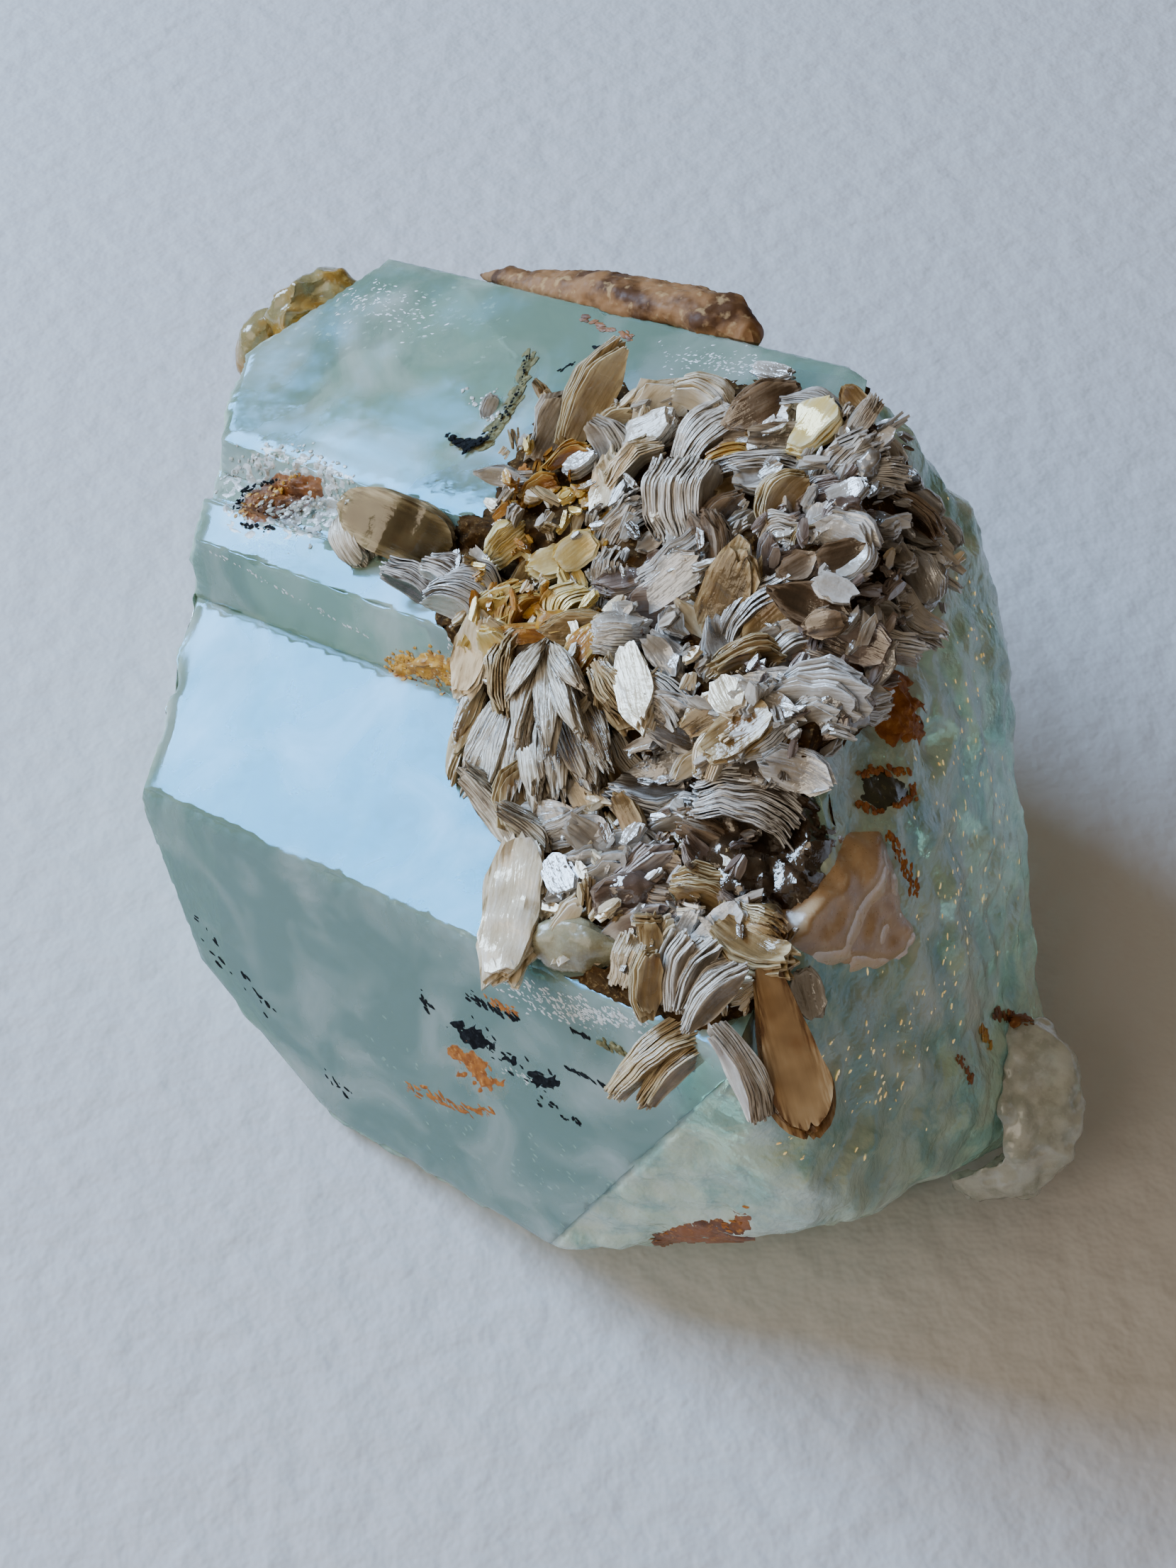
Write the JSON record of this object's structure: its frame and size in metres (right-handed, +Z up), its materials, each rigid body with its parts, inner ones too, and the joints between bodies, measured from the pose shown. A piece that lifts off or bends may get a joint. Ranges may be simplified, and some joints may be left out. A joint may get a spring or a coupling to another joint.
{
  "type": "aquamarine specimen",
  "caption": "Pale blue-green hexagonal aquamarine crystal lying on its side, with brown, cream and silvery mica books over its upper side and iron-stained grains of feldspar and quartz.",
  "frame": {"origin": "middle of the foot of the bounding box, on the plane the specimen stands on", "axes": "+Z up; the crust faces up and towards -Y, the show side; the crystal's long axis runs from the rear left, towards +X and -Y, rising slightly"},
  "size_m": [0.0622, 0.0766, 0.0452],
  "materials": {
    "beryl": "transparent to translucent pale blue-green beryl, satin prism faces and rough broken ends",
    "bed": "ground of small mica flakes and crumbs, glittering, uneven",
    "mica": "grey-brown muscovite books, pearly faces and ribbed sides",
    "honey": "honey-brown stained mica book, glassy with pearly sheet edges",
    "umber": "dark brown smoky mica, glossy",
    "cream": "cream mica sheets, pearly",
    "gold": "golden mica with fine dark cracks, pearly",
    "tan": "tan mica books with fibrous sheet edges, satin",
    "silver": "silvery colourless mica flakes, bright pearly",
    "plum": "plum-brown fine mica, glittering",
    "rust": "iron-stained feldspar and earthy iron oxide, matt",
    "amber": "amber-stained translucent feldspar, glassy",
    "quartz": "pale grey-white quartz, translucent, glassy",
    "feldspar": "brownish-pink feldspar, satin"
  },
  "bodies": {
    "root": {"angular_book": "tan", "aquamarine_crystal": "beryl", "barrel_book": "umber", "black_edge_book": "umber", "black_rib_book": "silver", "blue_facet_book": "silver", "bright_flake": "cream", "bronze_sliver_book": "umber", "brown_leaf_book": "umber", "copper_edge_book": "gold", "cream_blade": "cream", "cream_lens_book": "cream", "crinkled_cream_book": "cream", "crossed_blades": "mica", "crumpled_flake": "silver", "curved_blade_book": "silver", "curved_leaf_book": "tan", "dark_lens_book": "umber", "feather_low_book": "mica", "feather_top_book": "cream", "glassy_amber_grain": "amber", "glint_book": "umber", "golden_book": "gold", "grey_chip_grain": "silver", "groove_rust_grain": "rust", "honey_book": "honey", "honey_flank_book": "cream", "low_leaf_book": "tan", "mica_bed": "bed", "mica_fan": "mica", "olive_flake": "umber", "orange_dome_grain": "rust", "pale_quartz_grain": "quartz", "pink_feldspar_patch": "feldspar", "plum_mica_grain": "plum", "pointed_blade_book": "cream", "purple_star_grain": "plum", "quartz_lobe": "quartz", "rear_feldspar": "rust", "ribbed_stack_book": "mica", "right_leaf_book": "tan", "round_flake": "silver", "rust_patch": "rust", "second_blade_book": "mica", "silver_dome": "silver", "silver_flake": "silver", "silver_rim_flake": "silver", "silver_tab_book": "silver", "small_mica_fan": "mica", "smoky_leaf_book": "umber", "smoky_mica_mass": "umber", "spindle_book": "mica", "splinter_book": "silver", "tan_blade_book": "tan", "tan_splay_book": "mica", "upright_blade_book": "tan", "upright_silver_grain": "silver", "yellow_feldspar_grain": "amber"}
  },
  "joints": []
}
